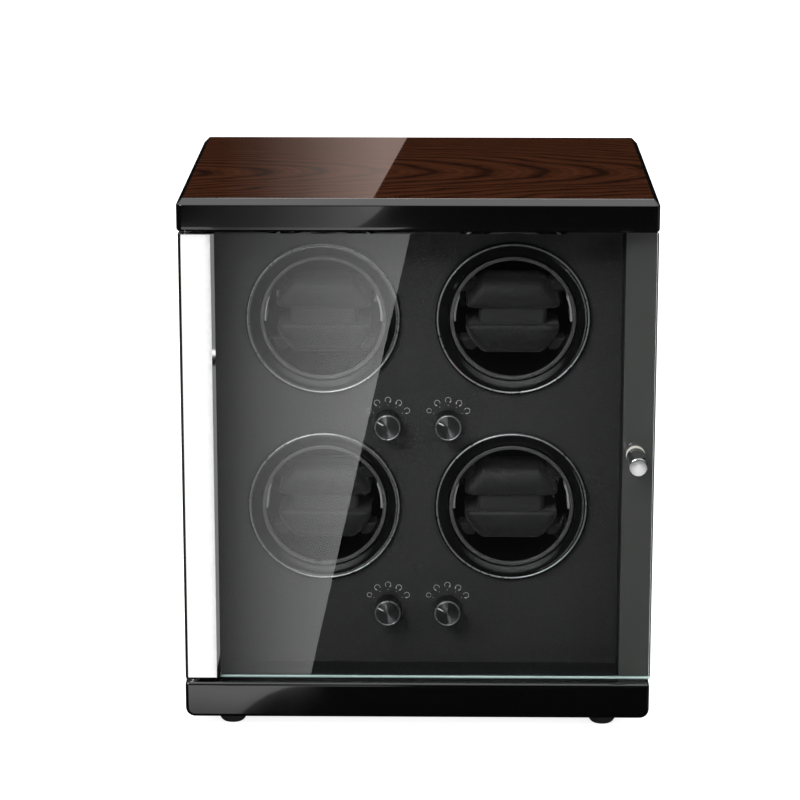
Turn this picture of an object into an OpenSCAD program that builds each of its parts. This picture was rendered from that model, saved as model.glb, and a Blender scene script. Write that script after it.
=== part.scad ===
// Cabinet for four automatic watches. Each bay turns a cup with a sprung watch holder by a belt from its
// own gear motor, and a hinged glass door closes the front.
// The front faces -Y and +Z is up. The origin is under the middle of the overall box, on the ground.

/* [Cabinet] */
// Width of the top panel
top_w = 250; // [246:1:260]
// Depth of the top panel
top_d = 200; // [190:1:230]
// Thickness of the top panel
top_t = 17; // [12:0.5:20]
// Width across the base and the outsides of the side panels
base_w = 249; // [244:1:250]
// Thickness of the base panel
base_t = 19.5; // [14:0.5:22]
// Height from the underside of the base to the top of the top panel
body_h = 283; // [280:1:300]
// Thickness of each side panel
side_t = 16.5; // [14:0.5:18]
// Distance from the front of the top panel to the front edges of the side panels
side_set_back = 12.2; // [12:0.1:14]
// Thickness of the back panel
back_t = 4; // [3:0.5:6]
// Height of the feet
foot_h = 7; // [5:0.5:10]
// Radius of the feet
foot_r = 7.5; // [6:0.5:10]

/* [Face panel] */
// Distance from the front of the top panel to the leather
face_set_back = 35.5; // [34:0.5:38]
// Thickness of the board behind the leather
board_t = 6; // [4:0.5:8]
// Thickness of the leather
leather_t = 1; // [0.8:0.1:1.5]
// Distance between the bays from left to right
bay_pitch_x = 100.8; // [98:0.2:104]
// Distance between the bays from top to bottom
bay_pitch_z = 103.5; // [100:0.5:106]
// Height of the lower bays above the underside of the base
lower_bay_h = 109.3; // [107:0.1:111]
// Outer radius of the bezel rings
bezel_r = 41.5; // [40:0.5:43]
// How far the bezel rings stand out from the leather
bezel_t = 2.5; // [1.5:0.1:4]

/* [Rotors] */
// Outer radius of the rotor cups
cup_r = 33.5; // [33:0.1:33.8]
// Thickness of the cup walls
cup_wall = 2; // [1.5:0.1:2.2]
// Inside depth of the rotor cups
cup_depth = 55.25; // [52:0.25:60]
// Width of a watch holder
holder_w = 51; // [46:1:52]
// Height of a watch holder
holder_h = 44; // [42:1:45]
// Depth of a watch holder from front to back
holder_d = 34; // [30:1:36]
// Gap between the two halves of a watch holder
holder_gap = 7; // [6.5:0.1:8]

/* [Drive] */
// Radius at which a belt runs on a rotor pulley
pulley_r = 20; // [18:0.5:22]
// Radius at which a belt runs on a motor pulley
pinion_r = 5; // [4:0.5:6]
// Distance between the axes of a rotor and its motor
drive_span = 34; // [32:0.5:35]
// Radius of the motors
motor_r = 12; // [10:0.5:13]
// Length of the motors behind their flanges
motor_l = 32; // [25:1:40]

/* [Controls] */
// Radius of the selector knobs
knob_r = 7; // [6:0.5:8]
// Length of the selector knobs
knob_l = 14.5; // [10:0.5:16]
// Distance of the selector knobs from the middle of the face
knob_x = 16.1; // [14:0.1:18]
// Distance of each selector knob below the middle of its bay
knob_drop = 56.6; // [55:0.1:58]

/* [Door] */
// Width of the hinge rail
rail_w = 19; // [16:0.5:21]
// Thickness of the hinge rail
rail_t = 8; // [7:0.5:8]
// Gap between the rail and the panels above and below
door_gap = 1.8; // [1.8:0.1:3]
// Thickness of the glass
glass_t = 4; // [3:0.5:5]
// Radius of the door knob
pull_r = 5; // [4:0.5:6]
// How far the door knob reaches in front of the top panel
pull_reach = 17.5; // [14:0.5:22]
// Height of the door knob above the underside of the base
pull_h = 145; // [120:0.5:160]

/* [Hidden] */
$fn = 96;
big = 400;
running_gap = 0.05;
y_front = -(top_d + pull_reach) / 2 + pull_reach;
y_back = y_front + top_d;
z_base = foot_h;
z_floor = z_base + base_t;
z_ceiling = z_base + body_h - top_t;
z_top = z_base + body_h;
side_h = z_ceiling - z_floor;
inner_x = base_w / 2 - side_t;

// The front of the leather, and the front and back of the board
y_face = y_front + face_set_back;
y_board = y_face + leather_t;
y_board_back = y_board + board_t;
y_side = y_front + side_set_back;
y_rear = y_back - 1;
rebate_w = 6;

// Places of the bays
bays = [1, 2, 3, 4];
function is_left(i) = i % 2 == 1;
function is_upper(i) = i < 3;
function bay_x(i) = (is_left(i) ? -1 : 1) * bay_pitch_x / 2;
function bay_z(i) = z_base + lower_bay_h + (is_upper(i) ? bay_pitch_z : 0);
function control_x(i) = (is_left(i) ? -1 : 1) * knob_x;
function control_z(i) = bay_z(i) - knob_drop;

// Rotor and housing
cup_rim_y = y_face - 1;
cup_floor_y = cup_rim_y + cup_depth;
cup_floor_t = 2.5;
cup_boss_t = 1.6;
cup_inner_r = cup_r - cup_wall;
bezel_inner_r = cup_r + 0.7;
spigot_r = bezel_inner_r + 2.1;
board_hole_r = spigot_r + 0.2;
drum_inner_r = 36;
drum_r = 38;
drum_flange_r = 44;
drum_flange_t = 2.5;
drum_wall_y = cup_floor_y + cup_floor_t + 2;
drum_wall_t = 3;
drum_back_y = drum_wall_y + drum_wall_t;
spindle_r = 4;
bush_r = 7;
bush_flange_r = 9;
bush_flange_t = 1.2;
pulley_y = drum_back_y + bush_flange_t + 0.4;
pulley_t = 7;
rim_t = 1.2;
pulley_rim = 1.5;
belt_gap = 0.25;
belt_t = 1;
belt_w = 3;
motor_shaft_r = 1.5;
motor_face_y = pulley_y + pulley_t + 2.4;
motor_flange_t = 2;
motor_flange_w = 29;
motor_nose_r = 5;
motor_nose_l = 1.8;
motor_shaft_l = 12;
post_r = 2.5;
post_x = 11.3;

// Watch holder
holder_front_y = y_face + 3;
holder_back_y = holder_front_y + holder_d;
holder_outline_r = 27;
holder_shell = 3;
arm_h = 7;
arm_z = 12.5;
arm_y = [6, 20];
arm_x = 20;
holder_cheek = 7;
sleeve_clear = 0.4;
sleeve_wall = 1.4;
sleeve_top = 6;
sleeve_foot = 5;
jaw_clear = 0.4;

// Spring leaves moulded on the wall of a cup
leaf_t = 1.2;
leaf_z = [-2, 11.5];
leaf_y = [2, 24];

// Selector switches
switch_w = 13;
switch_t = 9;
switch_bush_r = 4;
switch_nut_t = 1.6;
stem_r = 2.5;

// Feet and screws
foot_x = 100;
foot_y = [y_front + 17, y_back - 17];
foot_flat_r = 4.6;
screw_r = 1.5;
screw_hole_r = 1.7;
screw_head_r = 2.9;
back_screw_x = inner_x + rebate_w / 2;
back_screw_z = [z_floor + 14, (z_floor + z_ceiling) / 2, z_ceiling - 14];

// Door
pivot_in = rail_t / 2;
pivot_x = -base_w / 2 + pivot_in;
pivot_y = y_front + 3 + rail_t / 2;
rail_edge_r = 1.5;
rail_z = [z_floor + door_gap, z_ceiling - door_gap];
glass_z = [rail_z[0] - 0.3, rail_z[1] + 0.6];
glass_x = [-base_w / 2 + rail_w - 5, base_w / 2 + 0.5];
glass_y = [pivot_y - glass_t / 2, pivot_y + glass_t / 2];
pin_r = 2;
pin_depth = 8;
pivot_bush_r = 3.5;
pivot_bush_t = 6;
pivot_flange_r = 4.4;
pivot_flange_t = 1;
pull_x = inner_x + 7;
pull_z = z_base + pull_h;
washer_t = 0.8;
pull_y = [y_front - pull_reach, glass_y[0] - washer_t];
pull_screw_r = 2;
pull_head_r = 4.5;
pull_head_t = 1.9;
pull_thread = 8;
magnet_r = 4;
magnet_t = 3;

// Power inlet and control board
jack_x = 70;
jack_z = z_floor + 22;
jack_r = 5.5;
jack_flange_r = 7;
board_x = [0, 64];
board_y = [56, 92];
board_z = z_floor + 5;
pcb_t = 1.6;
pcb_hole_in = 4;

// Panels and small shapes
veneer_t = 0.8;
veneer_in = 3.4;
liner_t = 0.8;
top_corner_r = 3;
base_corner_r = 5;

// Points of a quarter circle about c, counter-clockwise from angle a
function quarter(c, r, a) = [for (k = [0:6]) c + r * [cos(a + 15 * k), sin(a + 15 * k)]];

// Points of an arc about c, from angle a to angle b in n steps
function arc(c, r, a, b, n) = [for (k = [0:n]) c + r * [cos(a + (b - a) * k / n), sin(a + (b - a) * k / n)]];

// A box between two corners
module block(low, high) {
    translate(low) cube(high - low);
}

// A cylinder along Y
module rod_y(r, y0, y1) {
    translate([0, y0, 0]) rotate([-90, 0, 0]) cylinder(r = r, h = y1 - y0);
}

// A cone along Y
module cone_y(r0, r1, y0, y1) {
    translate([0, y0, 0]) rotate([-90, 0, 0]) cylinder(r1 = r0, r2 = r1, h = y1 - y0);
}

// A cylinder along Z
module rod_z(r, z0, z1) {
    translate([0, 0, z0]) cylinder(r = r, h = z1 - z0);
}

// A ring along Y
module ring_y(r_out, r_in, y0, y1) {
    difference() {
        rod_y(r_out, y0, y1);
        rod_y(r_in, y0 - 1, y1 + 1);
    }
}

// Sweeps an outline drawn in X and Z from y0 to y1
module slab_y(y0, y1) {
    translate([0, y1, 0]) rotate([90, 0, 0]) linear_extrude(y1 - y0) children();
}

module at_bay(i) {
    translate([bay_x(i), 0, bay_z(i)]) children();
}

module at_control(i) {
    translate([control_x(i), 0, control_z(i)]) children();
}

module at_motor(i) {
    translate([bay_x(i), 0, bay_z(i) - drive_span]) children();
}

module at_feet() {
    for (x = [-foot_x, foot_x], y = foot_y) translate([x, y, 0]) children();
}

module at_back_screws() {
    for (x = [-back_screw_x, back_screw_x], z = back_screw_z) translate([x, 0, z]) children();
}

// --- Cabinet ---

module top_outline() {
    r = top_corner_r;
    x = top_w / 2 - r;
    polygon(concat(
        quarter([x, y_back - r], r, 0),
        quarter([-x, y_back - r], r, 90),
        quarter([-x, y_front + r], r, 180),
        quarter([x, y_front + r], r, 270)
    ));
}

module veneer_sheet() {
    x = top_w / 2 - veneer_in;
    block([-x, y_front + veneer_in, z_top - veneer_t], [x, y_back - veneer_in, z_top]);
}

module top_panel() {
    color("#0b0b0c") difference() {
        translate([0, 0, z_ceiling]) linear_extrude(top_t) top_outline();
        veneer_sheet();
        translate([pivot_x, pivot_y, 0]) rod_z(pivot_bush_r, z_ceiling - 1, z_ceiling + pivot_bush_t);
    }
}

module top_veneer() {
    color("#3a1c0f") veneer_sheet();
}

module base_panel() {
    r = base_corner_r;
    x = base_w / 2;
    color("#0b0b0c") difference() {
        slab_y(y_front + 1, y_rear) polygon(concat(
            [[x, z_floor], [-x, z_floor]],
            quarter([-x + r, z_base + r], r, 180),
            quarter([x - r, z_base + r], r, 270)
        ));
        translate([pivot_x, pivot_y, 0]) rod_z(pivot_bush_r, z_floor - pivot_bush_t, z_floor + 1);
        at_feet() rod_z(screw_r, z_base - 1, z_base + 10);
    }
}

// A side panel with the rebate for the back panel, on the side where s is 1 or -1
module side_panel(s) {
    low = min(s * inner_x, s * base_w / 2);
    difference() {
        translate([low, y_side, z_floor]) cube([side_t, y_rear - y_side, side_h]);
        translate([s * (inner_x + rebate_w / 2), y_rear - back_t / 2 + 1, z_floor + side_h / 2])
            cube([rebate_w, back_t + 2, side_h + 2], center = true);
        at_back_screws() rod_y(screw_r, y_rear - back_t - 12, y_rear);
    }
}

module side_panel_left() {
    color("#101112") side_panel(-1);
}

module side_panel_right() {
    color("#101112") difference() {
        side_panel(1);
        translate([pull_x, 0, pull_z]) rod_y(magnet_r, y_side - 1, y_side + magnet_t);
    }
}

module back_panel() {
    x = inner_x + rebate_w;
    color("#151515") difference() {
        block([-x, y_rear - back_t, z_floor], [x, y_rear, z_ceiling]);
        at_back_screws() {
            rod_y(screw_r, y_rear - back_t - 1, y_rear + 1);
            cone_y(screw_r, screw_head_r, y_rear - 1.6, y_rear - 0.2);
            rod_y(screw_head_r, y_rear - 0.2, y_rear + 1);
        }
        translate([jack_x, 0, jack_z]) rod_y(jack_r, y_rear - back_t - 1, y_rear + 1);
    }
}

module back_screws() {
    color("#9a9a9a") at_back_screws() difference() {
        union() {
            rod_y(screw_r, y_rear - back_t - 10, y_rear - 0.2);
            cone_y(screw_r, screw_head_r, y_rear - 1.6, y_rear - 0.2);
        }
        for (turn = [0, 90]) rotate([0, turn, 0])
            translate([-1.6, y_rear - 0.9, -0.3]) cube([3.2, 2, 0.6]);
    }
}

module face_board() {
    color("#2a2a2a") difference() {
        block([-inner_x, y_board, z_floor], [inner_x, y_board_back, z_ceiling]);
        for (i = bays) {
            at_bay(i) rod_y(board_hole_r, y_board - 1, y_board_back + 1);
            at_control(i) rod_y(switch_bush_r, y_board - 1, y_board_back + 1);
        }
    }
}

module face_leather() {
    color("#232323") difference() {
        block([-inner_x, y_face, z_floor + liner_t], [inner_x, y_board, z_ceiling]);
        for (i = bays) {
            at_bay(i) rod_y(board_hole_r, y_face - 1, y_board + 1);
            at_control(i) rod_y(switch_bush_r, y_face - 1, y_board + 1);
        }
    }
}

module floor_liner() {
    color("#202020") block([-inner_x, y_side, z_floor], [inner_x, y_board, z_floor + liner_t]);
}

module rubber_feet() {
    color("#0c0c0c") at_feet() difference() {
        rotate_extrude() polygon(concat(
            [[0, 0], [foot_flat_r, 0]],
            arc([foot_flat_r, foot_h * 0.6], foot_r - foot_flat_r, -70, 0, 6),
            [[foot_r, foot_h], [0, foot_h]]
        ));
        rod_z(screw_head_r + 0.3, -1, 3);
        rod_z(screw_hole_r, -1, foot_h + 1);
    }
}

module foot_screws() {
    color("#9a9a9a") at_feet() difference() {
        union() {
            rod_z(screw_head_r, 1, 3);
            rod_z(screw_r, 3, z_base + 9);
        }
        translate([0, 0, 1.5]) for (turn = [0, 90]) rotate([0, 0, turn]) cube([3.2, 0.6, 1.2], center = true);
    }
}

// --- Door ---

module door_glass() {
    color("#bcd4d2", 0.35) difference() {
        block([glass_x[0], glass_y[0], glass_z[0]], [glass_x[1], glass_y[1], glass_z[1]]);
        translate([pull_x, 0, pull_z]) rod_y(pull_screw_r + 0.1, glass_y[0] - 1, glass_y[1] + 1);
    }
}

module door_rail() {
    half = rail_t / 2;
    right = -base_w / 2 + rail_w;
    front = pivot_y - half;
    bevel = (rail_t - glass_t) / 2;
    color("#f2f2f2") difference() {
        translate([0, 0, rail_z[0]]) linear_extrude(rail_z[1] - rail_z[0]) polygon(concat(
            arc([pivot_x, pivot_y], half, 90, 180, 12),
            quarter([pivot_x - half + rail_edge_r, front + rail_edge_r], rail_edge_r, 180),
            [[right - bevel, front], [right, front + bevel], [right, pivot_y + half]]
        ));
        block([glass_x[0], glass_y[0], glass_z[0]], [right + 1, glass_y[1], glass_z[1]]);
        translate([pivot_x, pivot_y, 0]) {
            rod_z(pin_r, rail_z[0] - 1, rail_z[0] + pin_depth);
            rod_z(pin_r, rail_z[1] - pin_depth, rail_z[1] + 1);
        }
    }
}

module door_knob() {
    tip = pull_y[0];
    seat = pull_y[1];
    neck = pull_r - 0.8;
    color("#e6e6e6") translate([pull_x, 0, pull_z]) difference() {
        union() {
            cone_y(pull_r - 0.6, pull_r, tip, tip + 0.6);
            rod_y(pull_r, tip + 0.6, seat - 5.6);
            rod_y(neck, seat - 5.6, seat - 4.6);
            rod_y(pull_r, seat - 4.6, seat - 2.8);
            rod_y(neck, seat - 2.8, seat - 1.6);
            rod_y(pull_r, seat - 1.6, seat);
        }
        rod_y(pull_screw_r, seat - pull_thread - 0.5, seat + 1);
    }
}

module knob_screw() {
    head = glass_y[1] + washer_t;
    color("#c8c8c8") translate([pull_x, 0, pull_z]) difference() {
        union() {
            rod_y(pull_screw_r, pull_y[1] - pull_thread, head);
            rod_y(pull_head_r, head, head + pull_head_t);
        }
        for (turn = [0, 90]) rotate([0, turn, 0]) translate([-2.5, head + 0.9, -0.5]) cube([5, 2, 1]);
    }
}

module knob_washers() {
    color("#dddddd") translate([pull_x, 0, pull_z]) {
        ring_y(pull_r, pull_screw_r + 0.1, pull_y[1], glass_y[0]);
        ring_y(pull_r, pull_screw_r + 0.1, glass_y[1], glass_y[1] + washer_t);
    }
}

module pivot_pins() {
    color("#c0c0c0") translate([pivot_x, pivot_y, 0]) {
        rod_z(pin_r, z_floor - pivot_bush_t + 1, rail_z[0] + pin_depth);
        rod_z(pin_r, rail_z[1] - pin_depth, z_ceiling + pivot_bush_t - 1);
    }
}

module pivot_bushes() {
    color("#c9a24a") translate([pivot_x, pivot_y, 0]) {
        difference() {
            union() {
                rod_z(pivot_bush_r, z_floor - pivot_bush_t, z_floor);
                rod_z(pivot_flange_r - 0.5, z_floor, z_floor + pivot_flange_t);
            }
            rod_z(pin_r + running_gap, z_floor - pivot_bush_t + 0.9, z_floor + 5);
        }
        difference() {
            union() {
                rod_z(pivot_bush_r, z_ceiling, z_ceiling + pivot_bush_t);
                rod_z(pivot_flange_r - 0.5, z_ceiling - pivot_flange_t, z_ceiling);
            }
            rod_z(pin_r + running_gap, z_ceiling - 5, z_ceiling + pivot_bush_t - 0.9);
        }
    }
}

module door_magnet() {
    color("#b8b8b8") translate([pull_x, 0, pull_z]) rod_y(magnet_r, y_side, y_side + magnet_t);
}

// --- Bays ---

module bezel_ring(i) {
    color("#141414") at_bay(i) difference() {
        union() {
            cone_y(bezel_r - 1, bezel_r, y_face - bezel_t, y_face - bezel_t + 1);
            rod_y(bezel_r, y_face - bezel_t + 1, y_face);
            rod_y(spigot_r, y_face, y_board_back);
        }
        rod_y(bezel_inner_r, y_face - bezel_t - 1, y_board_back + 1);
    }
}

module drum_housing(i) {
    color("#1b1b1b") at_bay(i) difference() {
        union() {
            rod_y(drum_flange_r, y_board_back, y_board_back + drum_flange_t);
            rod_y(drum_r, y_board_back + drum_flange_t, drum_back_y);
            for (x = [-post_x, post_x]) translate([x, 0, -drive_span])
                rod_y(post_r, drum_back_y - 1, motor_face_y);
        }
        rod_y(drum_inner_r, y_board_back - 1, drum_wall_y);
        rod_y(bush_r, drum_wall_y - 1, drum_back_y + 1);
    }
}

module spindle_bushes() {
    color("#c9a24a") for (i = bays) at_bay(i) difference() {
        union() {
            rod_y(bush_r, drum_wall_y, drum_back_y);
            rod_y(bush_flange_r, drum_back_y, drum_back_y + bush_flange_t);
        }
        rod_y(spindle_r + running_gap, drum_wall_y - 1, drum_back_y + bush_flange_t + 1);
    }
}

module rotor_cup(i) {
    back = cup_floor_y + cup_floor_t;
    color("#0e0e0e") at_bay(i) {
        difference() {
            union() {
                rod_y(cup_r, cup_rim_y, back);
                rod_y(bush_r, back, back + cup_boss_t);
            }
            rod_y(cup_inner_r, cup_rim_y - 1, cup_floor_y);
            rod_y(spindle_r, cup_floor_y - 1, back + cup_boss_t + 1);
        }
        cup_leaves();
    }
}

// The two spring leaves on the wall of a cup, which grip the sides of a watch holder
module cup_leaves() {
    intersection() {
        ring_y(cup_inner_r + cup_wall / 2, cup_inner_r - leaf_t, cup_rim_y + leaf_y[0], cup_rim_y + leaf_y[1]);
        block([-cup_r, cup_rim_y, leaf_z[0]], [cup_r, cup_floor_y, leaf_z[1]]);
    }
}

module rotor_pulley(i) {
    end = pulley_y + pulley_t;
    color("#e4e0d4") at_bay(i) {
        rod_y(spindle_r, cup_floor_y, pulley_y);
        difference() {
            union() {
                rod_y(pulley_r + pulley_rim, pulley_y, pulley_y + rim_t);
                rod_y(pulley_r, pulley_y + rim_t, end - rim_t);
                rod_y(pulley_r + pulley_rim, end - rim_t, end);
            }
            for (turn = [0:60:300]) rotate([0, turn, 0]) translate([12, 0, 0]) rod_y(3.6, pulley_y - 1, end + 1);
        }
    }
}

function belt_line(extra) =
    let (lean = acos((pulley_r - pinion_r) / drive_span))
    concat(
        arc([0, 0], pulley_r + extra, lean - 90, 270 - lean, 40),
        arc([0, -drive_span], pinion_r + extra, 270 - lean, 270 + lean, 12)
    );

module drive_belts() {
    y0 = pulley_y + (pulley_t - belt_w) / 2;
    color("#1a1a1a") for (i = bays) at_bay(i) difference() {
        slab_y(y0, y0 + belt_w) polygon(belt_line(belt_gap + belt_t));
        slab_y(y0 - 1, y0 + belt_w + 1) polygon(belt_line(belt_gap));
    }
}

module gear_motors() {
    color("#8f949a") for (i = bays) at_motor(i) difference() {
        union() {
            rod_y(motor_nose_r, motor_face_y - motor_nose_l, motor_face_y);
            translate([-motor_flange_w / 2, motor_face_y, -7])
                cube([motor_flange_w, motor_flange_t, 14]);
            rod_y(motor_r, motor_face_y + motor_flange_t, motor_face_y + motor_l);
            for (x = [-4, 4]) translate([x - 0.5, motor_face_y + motor_l - 1, -1.5]) cube([1, 5, 3]);
        }
        rod_y(motor_shaft_r + running_gap, motor_face_y - motor_nose_l - 1, motor_face_y + motor_shaft_l);
    }
}

module motor_pulley(i) {
    end = pulley_y + pulley_t;
    rim = pinion_r + pulley_rim;
    color("#e4e0d4") at_motor(i) {
        rod_y(rim, pulley_y, pulley_y + rim_t);
        rod_y(pinion_r, pulley_y + rim_t, end - rim_t);
        rod_y(rim, end - rim_t, end);
        rod_y(motor_shaft_r, end, motor_face_y + motor_shaft_l - 0.5);
    }
}

// Side outline of a holder, drawn with depth along X and height along Y: flat in front and rounded behind
module holder_profile(shrink) {
    front = holder_front_y + shrink;
    back = holder_back_y - shrink;
    h = holder_h / 2 - shrink;
    r = 10 - shrink;
    rb = 16 - shrink;
    polygon(concat(
        quarter([back - rb, h - rb], rb, 0),
        quarter([front + r, h - r], r, 90),
        quarter([front + r, r - h], r, 180),
        quarter([back - rb, rb - h], rb, 270)
    ));
}

// One half of a holder as a shell with end cheeks, above z = 0 when s is 1
module holder_half(s) {
    hollow_w = holder_w - 2 * holder_cheek;
    intersection() {
        difference() {
            translate([-holder_w / 2, 0, 0]) rotate([90, 0, 90]) linear_extrude(holder_w) holder_profile(0);
            translate([-hollow_w / 2, 0, 0]) rotate([90, 0, 90])
                linear_extrude(hollow_w) holder_profile(holder_shell);
        }
        rod_y(holder_outline_r, holder_front_y - 1, holder_back_y + 1);
        translate([0, 0, s * (holder_gap / 2 + big / 2)]) cube(big, center = true);
    }
}

// The sleeve of the lower half, which slides in the hollow of the upper half
module holder_sleeve() {
    x = holder_w / 2 - holder_cheek;
    front = holder_front_y + holder_shell;
    back = holder_back_y - holder_shell;
    low = -holder_gap / 2 - sleeve_foot;
    outer = [x - sleeve_clear, front + sleeve_clear, back - 2];
    inner = [outer[0] - sleeve_wall, outer[1] + sleeve_wall, outer[2] - sleeve_wall];
    difference() {
        union() {
            block([-outer[0], outer[1], low], [outer[0], outer[2], sleeve_top]);
            block([-x - 0.5, front - 0.5, low], [x + 0.5, back + 0.5, low + 3]);
        }
        block([-inner[0], inner[1], low - 1], [inner[0], inner[2], sleeve_top + 1]);
    }
}

// The arms that join one half to the wall of the cup
module holder_arms(s, reach) {
    intersection() {
        for (side = [-1, 1]) translate([side * (arm_x + 10), holder_front_y + (arm_y[0] + arm_y[1]) / 2, s * (arm_z + arm_h / 2)])
            cube([20, arm_y[1] - arm_y[0], arm_h], center = true);
        rod_y(reach, cup_rim_y, cup_floor_y);
    }
}

module holder_frame(i) {
    color("#242424") at_bay(i) {
        holder_half(1);
        holder_arms(1, cup_inner_r);
    }
}

module holder_jaw(i) {
    color("#242424") at_bay(i) {
        holder_half(-1);
        holder_arms(-1, cup_inner_r - jaw_clear);
        holder_sleeve();
    }
}

// --- Controls and electrics ---

module selector_knob(i) {
    tip = y_face - knob_l;
    color("#0d0d0e") at_control(i) difference() {
        union() {
            cone_y(knob_r - 0.6, knob_r, tip, tip + 0.6);
            rod_y(knob_r, tip + 0.6, y_face - 2.6);
            rod_y(knob_r - 0.8, y_face - 2.6, y_face - 0.4);
            rod_y(stem_r, y_face - 0.5, y_board_back + switch_nut_t + 4);
        }
        rotate([0, -60, 0]) translate([-0.5, tip - 1, 3]) cube([1, 1.4, 3.4]);
    }
}

module selector_switches() {
    case_y = y_board_back;
    color("#2b3a55") for (i = bays) at_control(i) difference() {
        union() {
            rod_y(switch_bush_r, y_face, case_y);
            translate([-switch_w / 2, case_y, -switch_w / 2]) cube([switch_w, switch_t, switch_w]);
            for (x = [-4, 0, 4]) translate([x - 0.5, case_y + switch_t - 1, -5]) cube([1, 4, 0.6]);
        }
        rod_y(stem_r + running_gap, y_face - 1, case_y + switch_nut_t + 4.2);
    }
}

module dc_jack() {
    back = y_rear;
    color("#111111") translate([jack_x, 0, jack_z]) {
        difference() {
            union() {
                rod_y(jack_flange_r, back, back + 0.9);
                rod_y(jack_r, back - 14, back);
            }
            rod_y(2.85, back - 9.5, back + 2);
        }
        rod_y(1, back - 10, back - 1);
    }
}

module control_board() {
    x0 = board_x[0];
    x1 = board_x[1];
    y0 = board_y[0];
    y1 = board_y[1];
    color("#1d5a36") {
        difference() {
            union() {
                block([x0, y0, board_z], [x1, y1, board_z + pcb_t]);
                translate([x0 + 22, y0 + 12, board_z + pcb_t - 0.1]) cube([12, 12, 2.1]);
                for (k = [0:3]) translate([x0 + 8 + 13 * k, y0 + 1, board_z + pcb_t - 0.1]) cube([9, 6, 6]);
                translate([x1 - 12, y1 - 10, board_z + pcb_t - 0.1]) cube([8, 7, 7]);
                for (k = [0:1]) translate([x0 + 12 + 26 * k, y1 - 9, board_z + pcb_t - 0.1]) rod_z(4, 0, 9);
            }
            for (x = [x0 + pcb_hole_in, x1 - pcb_hole_in], y = [y0 + pcb_hole_in + 7, y1 - pcb_hole_in])
                translate([x, y, 0]) rod_z(screw_hole_r, board_z - 1, board_z + 3);
        }
        for (x = [x0 + pcb_hole_in, x1 - pcb_hole_in], y = [y0 + pcb_hole_in + 7, y1 - pcb_hole_in])
            translate([x, y, 0]) rod_z(3, z_floor, board_z);
    }
}

// A tube with eight sides along a list of points
lead_r = 1.1;
lean_to = [0.48, 0.62, 0.62];
function unit(v) = v / norm(v);
function heading(p, k) = unit(p[min(k + 1, len(p) - 1)] - p[max(k - 1, 0)]);
function tube_ring(p, k) =
    let (t = heading(p, k), a = unit(cross(t, lean_to)), b = cross(t, a))
    [for (s = [0:7]) p[k] + lead_r * (cos(45 * s) * a + sin(45 * s) * b)];

module lead(p) {
    last = len(p) - 1;
    polyhedron(
        points = [for (k = [0:last]) each tube_ring(p, k)],
        faces = concat(
            [[for (s = [0:7]) s]],
            [[for (s = [7:-1:0]) 8 * last + s]],
            [for (k = [0:last - 1], s = [0:7]) [8 * k + s, 8 * k + 8 + s, 8 * k + 8 + (s + 1) % 8, 8 * k + (s + 1) % 8]]
        ),
        convexity = 6
    );
}

// Leads from the board to the motors, the switches and the inlet
module wiring() {
    motor_end = motor_face_y + motor_l + 4;
    switch_end = y_board_back + switch_t + 3;
    plug_z = board_z + pcb_t + 6;
    color("#7a1f1f") {
        for (i = bays) {
            x = bay_x(i);
            z = bay_z(i) - drive_span;
            port = board_x[0] + 5 + 13 * i - 13 + 4;
            s = is_left(i) ? -1 : 1;
            run = s * (is_upper(i) ? 92 : 80);
            lead([
                [x + 4, motor_end, z], [x + 4, motor_end + 3, z], [x + 5, motor_end + 6, z - 2],
                [x + 12 * s, motor_end + 8, z - 8],
                [run, motor_end + 6, z - 22], [run, motor_end + 4, z - 36], [run, motor_end + 2, 44],
                [run * 0.9, motor_end + 2, 39], [port + 10 * s, 50, 38 + i], [port, 48, 39 + i],
                [port, 52, plug_z - 2], [port, board_y[0] + 1, plug_z - 2]
            ]);
            lead([
                [control_x(i) + 4, switch_end, control_z(i) - 4.7],
                [control_x(i) + 4, switch_end + 3, control_z(i) - 4.7],
                [control_x(i) + 4, switch_end + 7, control_z(i) - 7],
                [3 * i - 8, switch_end + 14, control_z(i) - 16], [3 * i - 8, 10, 34 + 2 * i],
                [3 * i - 6, 30, 30 + 2 * i], [port + 3, 44, plug_z - 4.5], [port + 3, board_y[0] + 1, plug_z - 4.5]
            ]);
        }
        lead([
            [jack_x, y_rear - 14, jack_z], [jack_x, y_rear - 18, jack_z - 1], [jack_x - 5, y_rear - 19, jack_z - 5],
            [board_x[1] - 6, y_rear - 17, plug_z + 2], [board_x[1] - 8, y_rear - 16.5, plug_z - 1],
            [board_x[1] - 8, board_y[1] - 3, plug_z - 2]
        ]);
    }
}

top_panel();
top_veneer();
base_panel();
side_panel_left();
side_panel_right();
back_panel();
face_board();
face_leather();
floor_liner();
rubber_feet();
foot_screws();
back_screws();
dc_jack();
control_board();
wiring();
pivot_bushes();
door_magnet();
gear_motors();
selector_switches();
drive_belts();
spindle_bushes();
door_glass();
door_rail();
door_knob();
knob_screw();
knob_washers();
pivot_pins();
for (i = bays) {
    bezel_ring(i);
    drum_housing(i);
    rotor_cup(i);
    rotor_pulley(i);
    holder_frame(i);
    holder_jaw(i);
    motor_pulley(i);
    selector_knob(i);
}
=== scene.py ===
"""Watch winder cabinet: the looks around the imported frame.

Everything is in metres, in the frame's own axes.
"""
import math

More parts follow.
